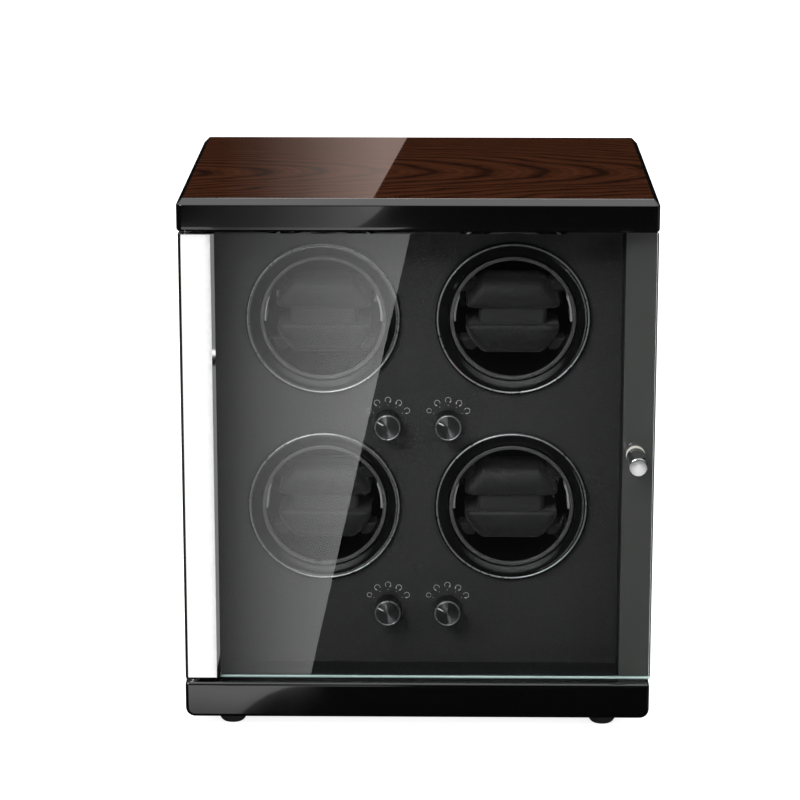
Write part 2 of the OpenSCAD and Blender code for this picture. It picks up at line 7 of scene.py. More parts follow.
import bmesh
import bpy
import numpy as np
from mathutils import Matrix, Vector


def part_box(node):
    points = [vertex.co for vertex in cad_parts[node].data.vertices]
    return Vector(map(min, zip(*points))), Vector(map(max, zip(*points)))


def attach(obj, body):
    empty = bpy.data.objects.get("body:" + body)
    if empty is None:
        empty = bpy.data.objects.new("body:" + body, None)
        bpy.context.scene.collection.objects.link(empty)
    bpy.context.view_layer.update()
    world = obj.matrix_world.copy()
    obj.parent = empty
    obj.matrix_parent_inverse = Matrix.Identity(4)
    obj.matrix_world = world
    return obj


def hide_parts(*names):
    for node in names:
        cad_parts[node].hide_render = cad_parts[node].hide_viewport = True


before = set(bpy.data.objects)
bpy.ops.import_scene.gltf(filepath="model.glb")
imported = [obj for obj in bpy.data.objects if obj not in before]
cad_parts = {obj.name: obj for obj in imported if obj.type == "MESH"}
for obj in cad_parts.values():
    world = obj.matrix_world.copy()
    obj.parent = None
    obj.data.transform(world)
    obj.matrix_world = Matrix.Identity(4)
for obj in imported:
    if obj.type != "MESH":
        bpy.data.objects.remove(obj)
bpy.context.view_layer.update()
MM = 0.001
BAYS = (1, 2, 3, 4)
BIG_FACE = 0.0004  # square metres: flat faces above this get a hairline border
HAIRLINE = 0.12 * MM
FIRST_MARK = 150  # degrees: where a selector's first position is, and how far apart they are
MARK_STEP = 30
PAD_FRAME = 10  # the cloth is filled at this many times its size
PAD_VOXEL = 0.013  # in that frame
PAD_CAP = 1 * MM  # how far the filling may move a point
SEAM_X = 12.6 * MM
BRIGHTEST = 2.5  # the highest level that steps() can give
WINDOW_LEFT = -0.34
RAIL_EDGE = -0.2  # where the mirrored window passes from the rail to the glass


# ---------------------------------------------------------------- places

def span(node):
    """Lowest and highest corners of a CAD node."""
    low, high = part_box(node)
    return Vector(low), Vector(high)


def middle(node):
    low, high = span(node)
    return (low + high) / 2


TOP_LOW, TOP_HIGH = span("top_panel")
BASE_LOW, BASE_HIGH = span("base_panel")
FACE_Y = span("face_leather")[0].y
BAY = {i: middle(f"bezel_ring_{i}") for i in BAYS}
KNOB = {i: middle(f"selector_knob_{i}") for i in BAYS}


# ---------------------------------------------------------------- material tools

class Shader:
    """A material with one Principled shader, and short ways to add and join nodes."""

    def __init__(self, name, **values):
        self.material = bpy.data.materials.new(name)
        self.material.use_nodes = True
        self.tree = self.material.node_tree
        self.bsdf = self.tree.nodes["Principled BSDF"]
        self.coords = None
        for key, value in values.items():
            socket = self.bsdf.inputs[key.replace("_", " ")]
            socket.default_value = (*value, 1) if isinstance(value, tuple) else value

    def add(self, kind, values=None, **settings):
        node = self.tree.nodes.new("ShaderNode" + kind)
        for key, value in settings.items():
            setattr(node, key, value)
        for key, value in (values or {}).items():
            if hasattr(value, "is_output"):
                self.tree.links.new(value, node.inputs[key])
            else:
                node.inputs[key].default_value = value
        return node

    def place(self, scale=(1, 1, 1)):
        """Object coordinates, stretched."""
        if self.coords is None:
            self.coords = self.add("TexCoord").outputs["Object"]
        return self.add("Mapping", {"Vector": self.coords, "Scale": scale}).outputs[0]

    def noise(self, scale, at=None, detail=4.0, rough=0.5):
        vector = self.place() if at is None else at
        values = {"Vector": vector, "Scale": scale, "Detail": detail, "Roughness": rough}
        return self.add("TexNoise", values).outputs["Fac"]

    def ramp(self, factor, stops):
        node = self.add("ValToRGB", {"Fac": factor})
        points = node.color_ramp.elements
        while len(points) < len(stops):
            points.new(0.5)
        for point, (place, colour) in zip(points, stops):
            point.position = place
            point.color = (*colour, 1) if isinstance(colour, tuple) else (colour, colour, colour, 1)
        return node.outputs["Color"]

    def math(self, operation, a, b):
        return self.add("Math", {0: a, 1: b}, operation=operation).outputs[0]

    def mix(self, factor, a, b, blend="MIX"):
        node = self.add("Mix", {"Factor": factor, 6: a, 7: b}, data_type="RGBA", blend_type=blend)
        return node.outputs[2]

    def spread(self, factor, low, high):
        return self.add("MapRange", {"Value": factor, "To Min": low, "To Max": high}).outputs[0]

    def bump(self, height, strength, distance):
        values = {"Height": height, "Strength": strength, "Distance": distance}
        self.set("Normal", self.add("Bump", values).outputs[0])

    def set(self, name, value):
        self.tree.links.new(value, self.bsdf.inputs[name])


def wear(shader, low, high, scale=35.0):
    """Roughness that changes a little over the surface, as handled and wiped surfaces do."""
    shader.set("Roughness", shader.spread(shader.noise(scale, detail=6.0), low, high))


def lacquer(name, colour):
    s = Shader(name, Base_Color=colour, Roughness=0.05, IOR=1.5, Coat_Weight=1.0, Coat_Roughness=0.02)
    wear(s, 0.03, 0.10)
    s.bump(s.noise(60.0, detail=2.0), 0.02, 0.0002)
    return s.material


def walnut():
    """Flat-sawn veneer: long arches that point to the right, under clear lacquer."""
    s = Shader("walnut_veneer", Roughness=0.45, Specular_IOR_Level=0.0, Coat_Weight=1.0, Coat_Roughness=0.015,
               Coat_IOR=1.5)
    drift = s.noise(6.0, s.place((0.8, 2.4, 1.0)), detail=3.0)
    bent = s.add("VectorMath", {0: s.place(), 1: s.add("CombineXYZ", {
        "X": 0.0, "Y": s.spread(drift, -0.030, 0.030), "Z": 0.0}).outputs[0]}, operation="ADD").outputs[0]
    arches = s.add("Mapping", {"Vector": bent, "Scale": (0.20, 1.0, 1.0),
                               "Location": (0.052, 0.010, -0.2895)}).outputs[0]
    rings = s.add("TexWave", {"Vector": arches, "Scale": 52.0, "Distortion": 1.6, "Detail": 3.0,
                              "Detail Scale": 1.2, "Detail Roughness": 0.5},
                  wave_type="RINGS", rings_direction="SPHERICAL", wave_profile="SAW").outputs["Fac"]
    pores = s.noise(1.0, s.place((70.0, 2200.0, 1.0)), detail=3.0)
    streaks = s.noise(1.0, s.place((6.0, 240.0, 1.0)), detail=4.0)
    wood = s.ramp(rings, [(0.0, (0.042, 0.0126, 0.0052)), (0.40, (0.074, 0.0230, 0.0092)),
                          (0.70, (0.046, 0.0138, 0.0056)), (0.84, (0.006, 0.0020, 0.0012)),
                          (0.95, (0.010, 0.0032, 0.0016)), (1.0, (0.042, 0.0126, 0.0052))])
    fine = s.add("TexWave", {"Vector": arches, "Scale": 250.0, "Distortion": 3.0, "Detail": 3.0,
                             "Detail Scale": 1.5},
                 wave_type="RINGS", rings_direction="SPHERICAL").outputs["Fac"]
    wood = s.mix(s.spread(fine, 0.0, 0.40), wood, (0.014, 0.0044, 0.0022, 1))
    wood = s.mix(s.spread(streaks, 0.0, 0.4), wood, s.ramp(streaks, [(0.35, (0.020, 0.0060, 0.0028)),
                                                                   (0.65, (0.054, 0.0172, 0.0072))]))
    wood = s.mix(s.ramp(pores, [(0.36, 0.7), (0.46, 0.0)]), wood, (0.010, 0.0034, 0.0018, 1))
    s.set("Base Color", wood)
    return s.material


def leather(name, colour, grain=1.0, roughness=0.55, sheen=0.1):
    s = Shader(name, Sheen_Weight=sheen, Sheen_Roughness=0.5, Specular_IOR_Level=0.25)
    cells = s.add("TexVoronoi", {"Vector": s.place(), "Scale": 900.0 / grain, "Smoothness": 0.4,
                                 "Randomness": 1.0},
                  feature="SMOOTH_F1").outputs["Distance"]
    creases = s.add("TexVoronoi", {"Vector": s.place(), "Scale": 420.0 / grain},
                    feature="DISTANCE_TO_EDGE").outputs["Distance"]
    fine = s.noise(2600.0 / grain, detail=3.0)
    height = s.math("ADD", s.math("MULTIPLY", cells, -0.6), s.math("MULTIPLY", fine, 0.5))
    height = s.math("ADD", height, s.math("MULTIPLY", s.math("MINIMUM", creases, 0.08), 1.5))
    s.bump(height, 0.8, 0.0004 * grain)
    shade = s.spread(s.noise(1500.0 / grain, detail=2.0), 0.5, 1.5)
    patch = s.spread(s.noise(22.0, detail=3.0), 0.88, 1.12)
    both = s.math("MULTIPLY", shade, patch)
    tone = s.add("CombineXYZ", {"X": both, "Y": both, "Z": both}).outputs[0]
    s.set("Base Color", s.mix(1.0, (*colour, 1), tone, "MULTIPLY"))
    s.set("Roughness", s.spread(cells, roughness - 0.1, roughness + 0.12))
    return s.material


def plastic(name, colour, roughness, coat=0.0):
    s = Shader(name, Base_Color=colour, IOR=1.5, Coat_Weight=coat, Coat_Roughness=0.03)
    wear(s, roughness * 0.75, roughness * 1.3, 60.0)
    s.bump(s.noise(3000.0, detail=2.0), 0.04, 0.0001)
    return s.material


def metal(name, colour, roughness, brush=(1.0, 1.0, 1.0)):
    """A metal; brush stretches its fine scratches along one axis."""
    s = Shader(name, Base_Color=colour, Metallic=1.0)
    at = s.place(brush)
    scratch = s.noise(400.0, at, detail=5.0)
    s.set("Roughness", s.spread(scratch, roughness * 0.7, roughness * 1.4))
    s.bump(scratch, 0.03, 0.00005)
    return s.material


def spun(name, colour, roughness):
    """Black anodised metal, turned: fine rings about each piece's axis catch the light as two wedges."""
    s = Shader(name, Base_Color=colour, Metallic=1.0, Anisotropic=0.95, Anisotropic_Rotation=0.25)
    tangent = s.add("Tangent", direction_type="RADIAL", axis="Y").outputs[0]
    s.set("Tangent", tangent)
    s.set("Roughness", s.spread(s.noise(900.0, detail=4.0), roughness * 0.85, roughness * 1.15))
    return s.material


def clear_glass():
    s = Shader("clear_glass", Base_Color=(0.985, 0.997, 0.994), Transmission_Weight=1.0, IOR=1.5,
               Specular_IOR_Level=0.5)
    s.set("Roughness", s.spread(s.noise(8.0, detail=2.0), 0.0, 0.004))
    return s.material


def glass_edge_highlight():
    # painted highlight: a pale green colour for the glass's lower chamfer, where the edge catches light; the
    # green is the glass's own tint
    s = Shader("glass_edge_highlight", IOR=1.5, Transmission_Weight=0.25, Coat_Weight=0.6, Coat_Roughness=0.05)
    along = s.noise(9.0, s.place((1.0, 1.0, 1.0)), detail=3.0)
    s.set("Base Color", s.ramp(along, [(0.3, (0.30, 0.43, 0.40)), (0.7, (0.46, 0.60, 0.57))]))
    s.set("Roughness", s.spread(along, 0.18, 0.32))
    return s.material


def rubber(name, colour):
    s = Shader(name, Base_Color=colour, Specular_IOR_Level=0.3)
    wear(s, 0.6, 0.8, 120.0)
    s.bump(s.noise(1800.0), 0.2, 0.0002)
    return s.material


def fibreboard():
    s = Shader("raw_board")
    fibres = s.noise(700.0, s.place((1.0, 1.0, 3.0)), detail=6.0, rough=0.7)
    s.set("Base Color", s.ramp(fibres, [(0.3, (0.075, 0.052, 0.034)), (0.7, (0.17, 0.125, 0.085))]))
    s.set("Roughness", s.spread(fibres, 0.75, 0.95))
    s.bump(fibres, 0.4, 0.0003)
    return s.material


def circuit():
    s = Shader("circuit_green", IOR=1.5)
    tracks = s.add("TexBrick", {"Vector": s.place((1.0, 1.0, 1.0)), "Scale": 90.0, "Mortar Size": 0.05,
                                "Color1": (0.006, 0.06, 0.022, 1), "Color2": (0.008, 0.075, 0.03, 1),
                                "Mortar": (0.02, 0.14, 0.06, 1)}).outputs["Color"]
    s.set("Base Color", tracks)
    wear(s, 0.25, 0.4, 200.0)
    return s.material


def printed():
    s = Shader("white_print", Base_Color=(0.30, 0.30, 0.295))
    wear(s, 0.45, 0.6, 300.0)
    return s.material


M = {
    "lacquer": lacquer("black_lacquer", (0.001, 0.001, 0.0011)),
    "walnut": walnut(),
    "face": leather("black_leather", (0.0105, 0.0105, 0.0108), sheen=0.05),
    # painted shade: a much darker copy of the face leather for the floor liner and the inner side walls,
    # standing in for the shade inside the box
    "liner": leather("liner_leather_painted_shade", (0.003, 0.003, 0.0031), sheen=0.0),
    "pad": leather("holder_leather", (0.0055, 0.0055, 0.0056), grain=0.8, roughness=0.42, sheen=0.05),
    "gloss": plastic("gloss_black", (0.0015, 0.0015, 0.0015), 0.06, coat=1.0),
    "rim": plastic("cup_rim", (0.03, 0.03, 0.0305), 0.28),
    # painted reflection: a mid grey for the cup leaves
    "leaf": plastic("painted_reflection_grey", (0.17, 0.17, 0.168), 0.4),
    "matte": plastic("matte_black", (0.02, 0.02, 0.02), 0.5),
    "white": plastic("white_plastic", (0.72, 0.70, 0.64), 0.4),
    "edge_band": plastic("edge_band", (0.027, 0.028, 0.0265), 0.4),
    "chrome": metal("chrome", (0.93, 0.93, 0.93), 0.04),
    "silver_line": metal("silver_line", (0.85, 0.85, 0.86), 0.28),
    "satin_steel": metal("satin_steel", (0.60, 0.60, 0.61), 0.25, brush=(1.0, 1.0, 20.0)),
    "can": metal("motor_metal", (0.45, 0.46, 0.48), 0.3, brush=(1.0, 20.0, 1.0)),
    "brass": metal("brass", (0.70, 0.49, 0.19), 0.22, brush=(1.0, 1.0, 20.0)),
    "anodised": spun("black_anodised", (0.10, 0.10, 0.103), 0.38),
    "anodised_side": metal("black_anodised_side", (0.035, 0.035, 0.037), 0.3, brush=(1.0, 30.0, 1.0)),
    "glass": clear_glass(),
    "glass_edge_highlight": glass_edge_highlight(),
    "rubber": rubber("rubber", (0.008, 0.008, 0.008)),
    "board": fibreboard(),
    "circuit": circuit(),
    "lead": rubber("lead_red", (0.25, 0.02, 0.02)),
    "print": printed(),
}


# ---------------------------------------------------------------- mesh tools

def soften(mesh, degrees=32):
    """Smooth shading, with edges sharper than the angle kept sharp."""
    bm = bmesh.new()
    bm.from_mesh(mesh)
    bmesh.ops.recalc_face_normals(bm, faces=bm.faces)
    for edge in bm.edges:
        edge.smooth = len(edge.link_faces) == 2 and edge.calc_face_angle(0) < math.radians(degrees)
    for face in bm.faces:
        face.smooth = True
    bm.to_mesh(mesh)
    bm.free()


def piece(name, verts, faces, materials, body="root", replaces=(), degrees=32):
    """A new piece of the object, riding on a body."""
    mesh = bpy.data.meshes.new(name)
    mesh.from_pydata([tuple(v) for v in verts], [], faces)
    return adopt(name, mesh, materials, body, replaces, degrees)


def adopt(name, mesh, materials, body="root", replaces=(), degrees=32):
    soften(mesh, degrees)
    for material in materials:
        mesh.materials.append(M[material])
    item = bpy.data.objects.new(name, mesh)
    bpy.context.scene.collection.objects.link(item)
    even = item.modifiers.new("even_normals", "WEIGHTED_NORMAL")
    even.keep_sharp = True
    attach(item, body)
    if replaces:
        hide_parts(*replaces)
    return item


def bow(start, bend, end, steps=8):
    """Points of a smooth curve from start to end, pulled towards bend."""
    t = np.linspace(0, 1, steps + 1)[:, None]
    curve = (1 - t) ** 2 * np.array(start) + 2 * t * (1 - t) * np.array(bend) + t ** 2 * np.array(end)
    return [tuple(point) for point in curve]


def arc(cx, cy, r, start, end, steps):
    """Points of an arc, with angles in degrees."""
    angles = np.radians(np.linspace(start, end, steps + 1))
    return [(cx + r * math.cos(a), cy + r * math.sin(a)) for a in angles]


def lathe(name, profile, centre, materials, body, replaces=(), steps=128, slots=None):
    """Turns a closed or open profile of (radius, y) about an axis along Y.

    slots gives a material number for each stretch of the profile.
    """
    verts, faces, numbers = [], [], []
    rings = []
    for r, y in profile:
        if r < 1e-7:
            rings.append([len(verts)])
            verts.append((centre.x, y, centre.z))
            continue
        rings.append(list(range(len(verts), len(verts) + steps)))
        for k in range(steps):
            a = 2 * math.pi * k / steps
            verts.append((centre.x + r * math.cos(a), y, centre.z + r * math.sin(a)))
    for i in range(len(profile) - 1):
        a, b = rings[i], rings[i + 1]
        for k in range(steps):
            j = (k + 1) % steps
            if len(a) == 1 and len(b) == 1:
                continue
            if len(a) == 1:
                faces.append((a[0], b[k], b[j]))
            elif len(b) == 1:
                faces.append((a[k], b[0], a[j]))
            else:
                faces.append((a[k], b[k], b[j], a[j]))
            numbers.append(slots[i] if slots else 0)
    item = piece(name, verts, faces, materials, body, replaces)
    item.data.polygons.foreach_set("material_index", numbers)
    return item


def lathe_z(name, profile, centre, materials, body, replaces):
    """As lathe, for a profile of (radius, z) about an upright axis."""
    item = lathe(name, profile, Vector((0, 0, 0)), materials, body, replaces, steps=96)
    for v in item.data.vertices:
        x, y, z = v.co
        v.co = (centre.x + x, centre.y - z, y)
    return item


def prism(name, outline, low, high, axis, materials, body="root", replaces=(), bevel=0.0,
          segments=3, bevel_angle=50.0, degrees=32):
    """Sweeps an outline along an axis, then rounds its sharp edges."""
    order = {"x": (2, 0, 1), "y": (0, 2, 1), "z": (0, 1, 2)}[axis]
    bm = bmesh.new()
    ends = []
    for level in (low, high):
        ring = []
        for u, v in outline:
            source = (u, v, level)
            ring.append(bm.verts.new([source[order[k]] for k in range(3)]))
        ends.append(ring)
    n = len(outline)
    bm.faces.new(ends[0])
    bm.faces.new(list(reversed(ends[1])))
    for k in range(n):
        j = (k + 1) % n
        bm.faces.new((ends[0][k], ends[0][j], ends[1][j], ends[1][k]))
    bmesh.ops.recalc_face_normals(bm, faces=bm.faces)
    if bevel:
        sharp = [e for e in bm.edges if e.calc_face_angle(0) > math.radians(bevel_angle)]
        bmesh.ops.bevel(bm, geom=sharp, offset=bevel, segments=segments, profile=0.5, affect="EDGES",
                        clamp_overlap=True)
        # a hairline border keeps the big flat faces true mirrors right up to their rounded edges
        flat = [f for f in bm.faces if f.calc_area() > BIG_FACE]
        bmesh.ops.inset_individual(bm, faces=flat, thickness=HAIRLINE, use_even_offset=True)
    mesh = bpy.data.meshes.new(name)
    bm.to_mesh(mesh)
    bm.free()
    return adopt(name, mesh, materials, body, replaces, degrees)


def rounded_rectangle(x0, y0, x1, y1, r, steps=6):
    return (arc(x1 - r, y1 - r, r, 0, 90, steps) + arc(x0 + r, y1 - r, r, 90, 180, steps)
            + arc(x0 + r, y0 + r, r, 180, 270, steps) + arc(x1 - r, y0 + r, r, 270, 360, steps))


def paint_faces(item, number, chosen):
    """Gives the faces that chosen(centre, normal) picks another of the piece's materials."""
    for face in item.data.polygons:
        if chosen(face.center, face.normal):
            face.material_index = number


# ---------------------------------------------------------------- cabinet

def make_top():
    """The lacquered top: a 45 degree chamfer all round, and a small round along its lower edge."""
    low, high = TOP_LOW, TOP_HIGH
    r_low = 1.2 * MM
    levels = [(r_low * (1 - math.sin(a)), low.z + r_low * (1 - math.cos(a)))
              for a in np.radians(np.linspace(0, 90, 6))]
    # insets and drops in mm: rings that keep the side flat, a small round, the chamfer, a small round
    chamfer = [(0, 14.6), (0, 3.65), (0, 3.45), (0.05, 3.24), (0.18, 3.04), (0.33, 2.88), (0.43, 2.78),
               (2.68, 0.52), (2.78, 0.42), (2.96, 0.24), (3.16, 0.08), (3.4, 0)]
    levels += [(inset * MM, high.z - drop * MM) for inset, drop in chamfer]
    rings = []
    for i, z in levels:
        corners = rounded_rectangle(low.x + i, low.y + i, high.x - i, high.y - i, 3.0 * MM - i * 0.8)
        rings.append([(x, y, z) for x, y in corners])
    # the lacquer dips a hair under the veneer so the two never share a plane
    rings.append([(x * 0.985, low.y + (y - low.y) * 0.985 + 0.0015, z - 0.3 * MM) for x, y, z in rings[-1]])
    verts = [v for ring in rings for v in ring]
    n = len(rings[0])
    faces = [tuple(range(n - 1, -1, -1)), tuple(range(n * (len(rings) - 1), n * len(rings)))]
    for a in range(len(rings) - 1):
        for k in range(n):
            j = (k + 1) % n
            faces.append((a * n + k, a * n + j, (a + 1) * n + j, (a + 1) * n + k))
    piece("top_panel_body", verts, faces, ["lacquer"], replaces=["top_panel"],
          degrees=30)
    v_low, v_high = span("top_veneer")
    prism("top_veneer_sheet", rounded_rectangle(v_low.x, v_low.y, v_high.x, v_high.y, 0.5 * MM),
          v_low.z, v_high.z, "z", ["walnut"], replaces=["top_veneer"])


def make_base():
    low, high = BASE_LOW, BASE_HIGH
    r = 5 * MM
    outline = ([(high.x, high.z), (low.x, high.z)] + arc(low.x + r, low.z + r, r, 180, 270, 8)
               + arc(high.x - r, low.z + r, r, 270, 360, 8))
    prism("base_panel_body", outline, low.y, high.y, "y", ["lacquer"],
          replaces=["base_panel"], bevel=1.7 * MM, segments=5)


def make_sides():
    for side, node in ((-1, "side_panel_left"), (1, "side_panel_right")):
        low, high = span(node)
        inner, outer = (high.x, low.x) if side < 0 else (low.x, high.x)
        step_in = inner + side * 6 * MM
        back = high.y - 4 * MM
        outline = [(inner, low.y), (outer, low.y), (outer, high.y), (step_in, high.y), (step_in, back),
                   (inner, back)]
        panel = prism(node + "_body", outline, low.z, high.z, "z", ["lacquer", "edge_band", "liner"],
                      replaces=[node], bevel=0.7 * MM, segments=3)
        paint_faces(panel, 1, lambda c, n: n.y < -0.9 and c.y < low.y + MM)
        # painted shade: the inner side walls take the darkened liner leather
        paint_faces(panel, 2, lambda c, n: n.x * side < -0.9 and c.y < back)


# ---------------------------------------------------------------- door

def make_glass():
    """The door's plate: its lower chamfer is painted pale, a painted highlight over the glass edge's own
    green tint.
    """
    low, high = span("door_glass")
    glass = prism("door_glass_pane", [(low.x, low.z), (high.x, low.z), (high.x, high.z), (low.x, high.z)],
                  low.y, high.y, "y", ["glass", "glass_edge_highlight"], "door", ["door_glass"],
                  bevel=0.7 * MM, segments=1, degrees=20)
    # painted highlight: the downward-facing chamfer takes the pale edge colour
    paint_faces(glass, 1, lambda c, n: n.z < -0.5)


def make_rail():
    low, high = span("door_rail")
    r, back, lip = 1.5 * MM, 4 * MM, 2 * MM
    slot_in = 5 * MM
    outline = (arc(low.x + r, low.y + r, r, 180, 270, 6)
               + [(high.x - lip, low.y), (high.x, low.y + lip), (high.x - slot_in, low.y + lip),
                  (high.x - slot_in, high.y - lip), (high.x, high.y - lip), (high.x, high.y)]
               + arc(low.x + back, high.y - back, back, 90, 180, 10))
    prism("door_rail_profile", outline, low.z, high.z, "z", ["chrome"], "door", ["door_rail"],
          bevel=0.3 * MM, segments=2, bevel_angle=60)


def make_pull():
    """The turned door knob: a flat bright end, a plain stem and two grooves near the glass."""
    low, high = span("door_knob")
    r = (high.x - low.x) / 2
    tip, seat = low.y, high.y
    neck = r - 0.8 * MM
    lip = 0.45 * MM
    edge = 0.5 * MM
    profile = [(0, tip), (r * 0.45, tip), (r - edge - 0.05 * MM, tip), (r - edge, tip)]
    profile += [(r - edge + edge * math.sin(a), tip + edge * (1 - math.cos(a)))
                for a in np.radians(np.linspace(15, 90, 6))]
    for start, end in ((seat - 5.6 * MM, seat - 4.6 * MM), (seat - 2.8 * MM, seat - 1.6 * MM)):
        profile += [(r, start - lip), (r - lip * 0.3, start - lip * 0.3), (neck + 0.1 * MM, start),
                    (neck, start + 0.2 * MM), (neck, end - 0.2 * MM), (neck + 0.1 * MM, end),
                    (r - lip * 0.3, end + lip * 0.3), (r, end + lip)]
    profile += [(r, seat - lip), (r - lip, seat), (2.1 * MM, seat), (2.1 * MM, seat - 8 * MM)]
    lathe("door_knob_turned", profile, middle("door_knob"), ["chrome"], "door", ["door_knob"])


# ---------------------------------------------------------------- bays

def make_bezel(i):
    c = BAY[i]
    low, high = span(f"bezel_ring_{i}")
    r = (high.x - low.x) / 2
    front = low.y
    face = FACE_Y
    inner = 34.2 * MM
    profile = [(r, face), (r, front + 1.0 * MM)]
    profile += arc(r - 0.8 * MM, front + 1.0 * MM, 0.8 * MM, 0, -90, 5)[1:]
    profile += [(r - 0.95 * MM, front + 0.5 * MM), (r - 1.8 * MM, front + 0.5 * MM),
                (r - 1.95 * MM, front + 0.05 * MM)]
    for t in np.linspace(0, 1, 9):
        profile.append((r - 2.3 * MM - t * (r - 2.3 * MM - inner - 0.5 * MM),
                        front + 0.05 * MM + 1.9 * MM * (1 - math.cos(t * math.pi / 2))))
    profile += arc(inner + 0.5 * MM, front + 2.5 * MM, 0.5 * MM, -100, -180, 4)
    profile += [(inner, high.y), (36.3 * MM, high.y), (36.3 * MM, face)]
    lathe(f"bezel_{i}", profile, c, ["gloss"], "root", [f"bezel_ring_{i}"], steps=160)
    bead = [(r - 1.38 * MM + 0.44 * MM * math.cos(a), front + 0.46 * MM + 0.44 * MM * math.sin(a))
            for a in np.linspace(0, 2 * math.pi, 13)]
    lathe(f"bezel_line_{i}", bead, c, ["silver_line"], "root", steps=160)


def make_cup(i):
    c = BAY[i]
    low, high = span(f"rotor_cup_{i}")
    r = (high.x - low.x) / 2
    inner = r - 2 * MM
    rim = low.y
    floor = high.y - 4.1 * MM
    body = f"rotor_{i}"
    profile = [(4.0 * MM, high.y), (7 * MM, high.y), (7 * MM, high.y - 1.6 * MM),
               (r - 1.5 * MM, high.y - 1.6 * MM), (r, high.y - 3.1 * MM), (r, rim + 0.5 * MM)]
    slots = [0] * (len(profile) - 1)
    lip = arc(r - 0.5 * MM, rim + 0.5 * MM, 0.5 * MM, 0, -90, 4)[1:]
    lip += arc(inner + 0.5 * MM, rim + 0.5 * MM, 0.5 * MM, -90, -180, 4)
    lip += [(inner, rim + 1.8 * MM)]
    profile += lip
    slots += [1] * len(lip)
    rest = [(inner, rim + 3 * MM)] + [(inner, y) for y in np.linspace(rim + 8 * MM, floor - 4 * MM, 6)]
    rest += arc(inner - 4 * MM, floor - 4 * MM, 4 * MM, 0, 90, 6)
    rest += [(12 * MM, floor), (11 * MM, floor - 0.8 * MM), (4.0 * MM, floor - 0.8 * MM), (4.0 * MM, high.y)]
    profile += rest
    slots += [0] * len(rest)
    lathe(f"rotor_cup_body_{i}", profile, c, ["gloss", "rim"], body, [f"rotor_cup_{i}"],
          steps=160, slots=slots)
    # painted reflection: grey leaves on the cup wall, left and right just above the axis, stand in for the
    # window's bright bars mirrored in the glossy wall
    for side, word in ((-1, "left"), (1, "right")):
        angles = np.linspace(math.asin(-2 / 31), math.asin(11.5 / 31), 9)
        wall, within = inner - 0.05 * MM, inner - 1.15 * MM
        outline = [(c.x + side * wall * math.cos(a), c.z + wall * math.sin(a)) for a in angles]
        outline += [(c.x + side * within * math.cos(a), c.z + within * math.sin(a)) for a in reversed(angles)]
        prism(f"cup_reflection_leaf_{word}_{i}", outline, rim + 2 * MM, rim + 24 * MM, "y", ["leaf"], body,
              bevel=0.25 * MM, segments=2)


def make_selector(i):
    low, high = span(f"selector_knob_{i}")
    c = Vector((KNOB[i].x, 0, KNOB[i].z))
    r = (high.x - low.x) / 2
    tip = low.y
    body = f"knob_{i}"
    face_r = r - 0.62 * MM
    profile = [(0, tip + 0.25 * MM), (face_r * 0.5, tip + 0.25 * MM), (face_r - 0.12 * MM, tip + 0.25 * MM),
               (face_r, tip + 0.05 * MM), (face_r + 0.14 * MM, tip), (face_r + 0.28 * MM, tip + 0.05 * MM),
               (r - 0.1 * MM, tip + 0.4 * MM), (r, tip + 0.7 * MM)]
    slots = [0, 0, 1, 1, 1, 1, 1]
    grip = [(r, FACE_Y - 2.9 * MM), (r - 0.25 * MM, FACE_Y - 2.6 * MM), (r - 0.8 * MM, FACE_Y - 2.5 * MM),
            (r - 0.8 * MM, FACE_Y - 0.45 * MM), (2.5 * MM, FACE_Y - 0.4 * MM), (2.5 * MM, high.y),
            (0, high.y)]
    profile += grip
    slots += [2] * len(grip)
    lathe(f"selector_{i}", profile, c, ["anodised", "silver_line", "anodised_side"], body,
          [f"selector_knob_{i}"], steps=96, slots=slots)
    a = math.radians(FIRST_MARK)
    along = Vector((math.cos(a), 0, math.sin(a)))
    across = Vector((-math.sin(a), 0, math.cos(a)))
    verts = []
    for y in (tip + 0.28 * MM, tip + 0.08 * MM):
        for d, w in ((2.6, -0.3), (6.05, -0.3), (6.05, 0.3), (2.6, 0.3)):
            verts.append(c + along * d * MM + across * w * MM + Vector((0, y, 0)))
    faces = [(0, 1, 2, 3), (7, 6, 5, 4), (0, 4, 5, 1), (1, 5, 6, 2), (2, 6, 7, 3), (3, 7, 4, 0)]
    piece(f"selector_pointer_{i}", verts, faces, ["print"], body)


